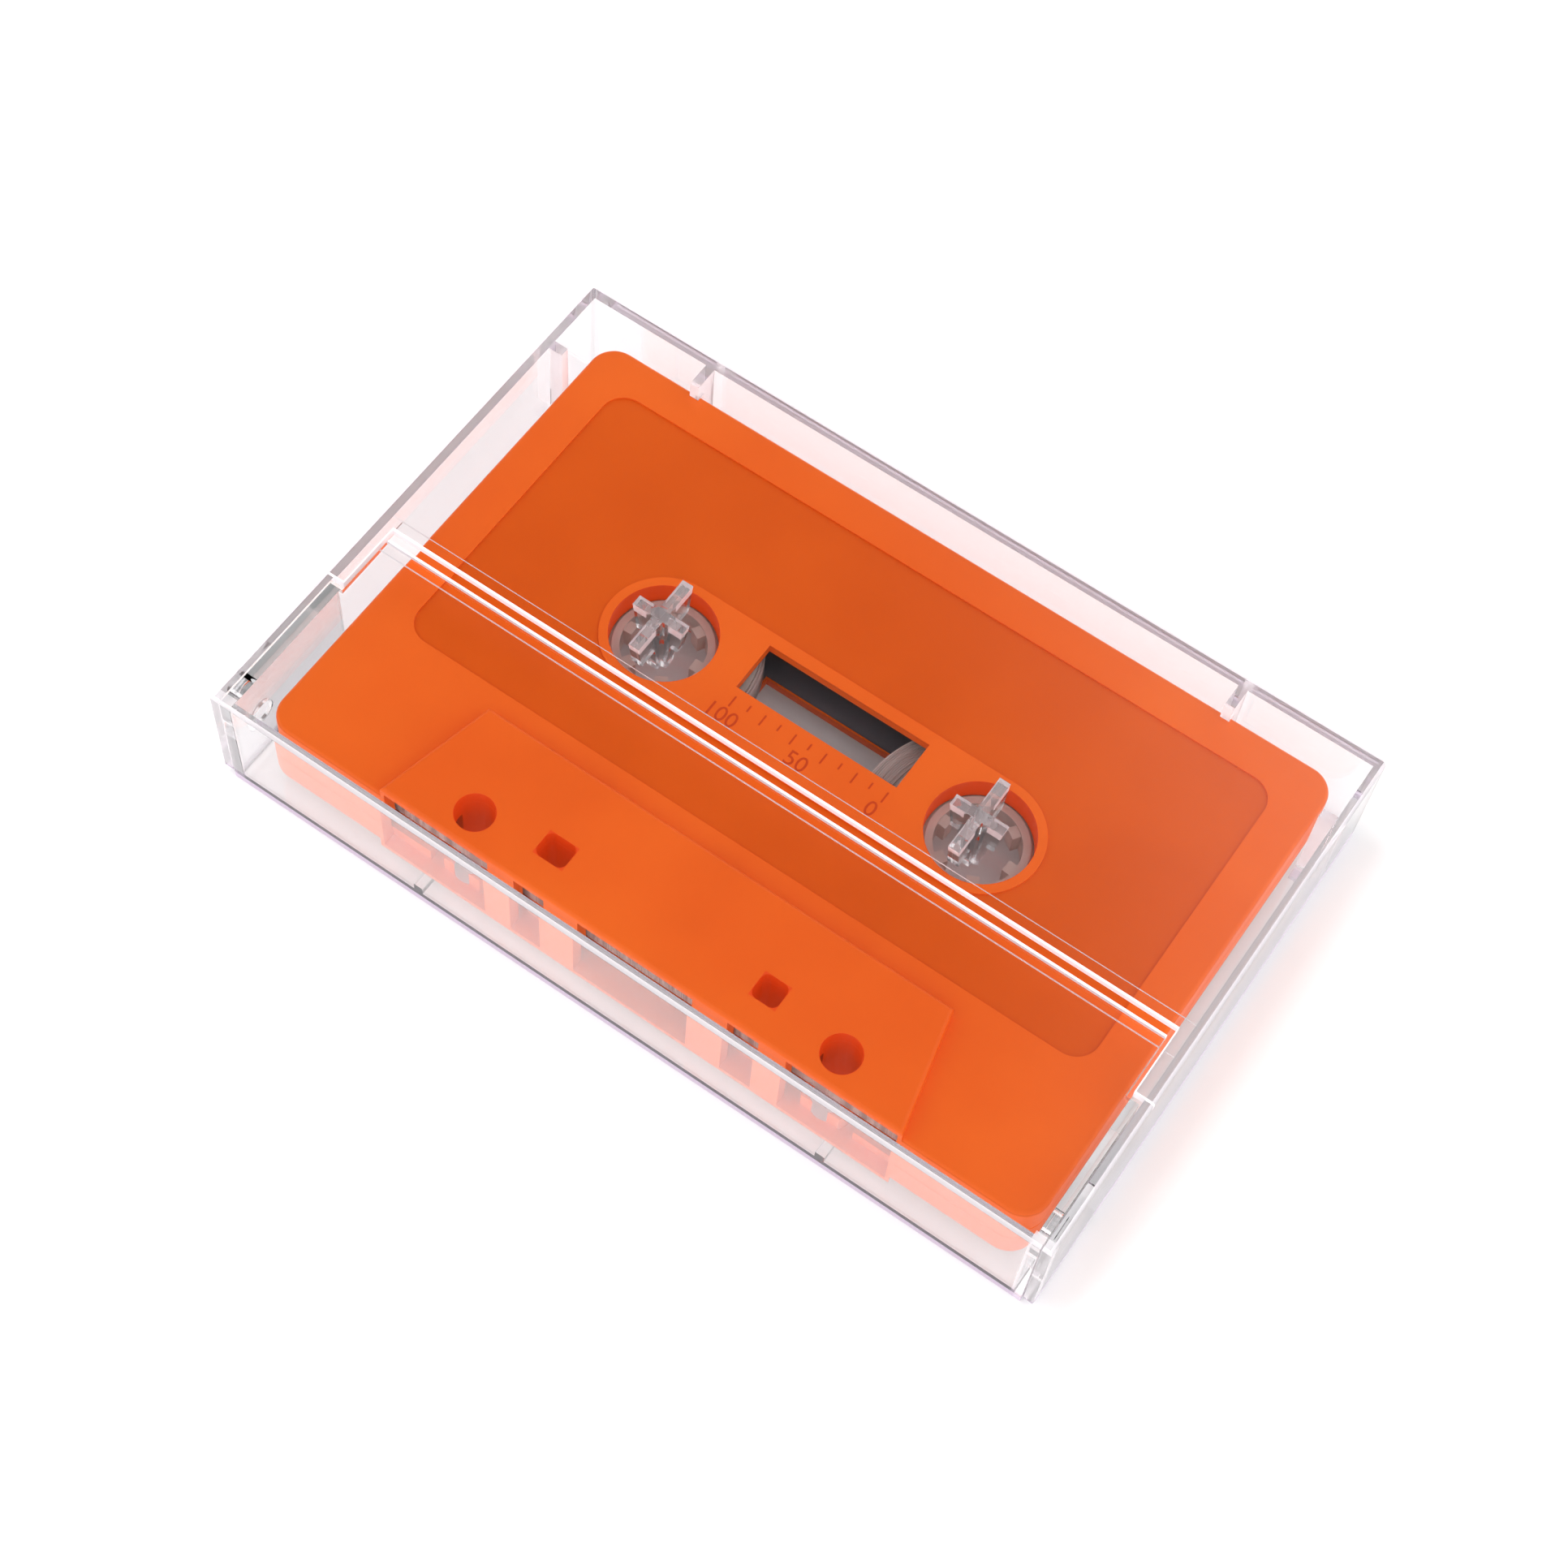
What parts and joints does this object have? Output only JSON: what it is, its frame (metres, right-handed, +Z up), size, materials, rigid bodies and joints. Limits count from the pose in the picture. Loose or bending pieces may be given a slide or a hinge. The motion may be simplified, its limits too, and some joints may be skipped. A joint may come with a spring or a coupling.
{
  "type": "audio cassette tape",
  "caption": "Compact audio cassette with an orange plastic shell, toothed hubs and guide rollers, lying in a clear hinged plastic case that opens flat.",
  "frame": {"origin": "on the ground under the middle of the closed case's bounding box", "axes": "+X along the case's long side, along the hinge line; +Y from the hinged spine towards the edge that opens; +Z up, out of the cassette's label side"},
  "size_m": [0.1086, 0.07, 0.0168],
  "materials": {
    "clear_plastic": "clear moulded polystyrene, polished",
    "orange_plastic": "satin moulded, fine grain",
    "hub_plastic": "milky, slightly see-through",
    "leader_tape": "smooth pale leader",
    "liner_sheet": "graphite coated, dull",
    "roller_plastic": "plain white moulded",
    "steel": "drawn wire and rolled sheet",
    "spring_bronze": "rolled strip",
    "felt": "dense pressed felt"
  },
  "bodies": {
    "pocket": {"case_front": "clear_plastic", "shell_upper": "orange_plastic", "shell_lower": "orange_plastic", "slip_sheet_upper": "liner_sheet", "slip_sheet_lower": "liner_sheet", "tape_run": "leader_tape", "roller_pin_left": "steel", "roller_pin_right": "steel", "pad_spring": "spring_bronze", "shield_plate": "steel"},
    "lid": {"case_back": "clear_plastic"},
    "right_reel": {"hub_right": "hub_plastic", "hub_clamp_right": "hub_plastic", "tape_pack_right": "leader_tape"},
    "left_reel": {"hub_left": "hub_plastic", "hub_clamp_left": "hub_plastic", "tape_pack_left": "leader_tape"},
    "left_roller": {"guide_roller_left": "roller_plastic"},
    "right_roller": {"guide_roller_right": "roller_plastic"},
    "pad": {"pressure_pad": "felt"}
  },
  "joints": [
    {"name": "case_hinge", "type": "hinge", "parent": "pocket", "child": "lid", "pos_m": [0, -0.03, 0.0084], "axis": [1, 0, 0], "range_deg": [0, 180]},
    {"name": "right_reel_spin", "type": "hinge", "parent": "pocket", "child": "right_reel", "pos_m": [0.02195, 0.00265, 0.0084], "axis": [0, 0, 1], "continuous": true},
    {"name": "left_reel_spin", "type": "hinge", "parent": "pocket", "child": "left_reel", "pos_m": [-0.02055, 0.00265, 0.0084], "axis": [0, 0, 1], "continuous": true},
    {"name": "left_roller_spin", "type": "hinge", "parent": "pocket", "child": "left_roller", "pos_m": [-0.0421, -0.02705, 0.0084], "axis": [0, 0, 1], "continuous": true},
    {"name": "right_roller_spin", "type": "hinge", "parent": "pocket", "child": "right_roller", "pos_m": [0.0435, -0.02705, 0.0084], "axis": [0, 0, 1], "continuous": true},
    {"name": "pad_press", "type": "slide", "parent": "pocket", "child": "pad", "axis": [0, 1, 0], "range_m": [0, 0.0008], "stiffness_N_per_m": 150, "deforming": ["pad_spring"]}
  ],
  "couplings": [
    {"joint": "left_reel_spin", "follows": "right_reel_spin", "ratio": 1.2414},
    {"joint": "left_roller_spin", "follows": "right_reel_spin", "ratio": 4.8},
    {"joint": "right_roller_spin", "follows": "right_reel_spin", "ratio": 4.8}
  ]
}
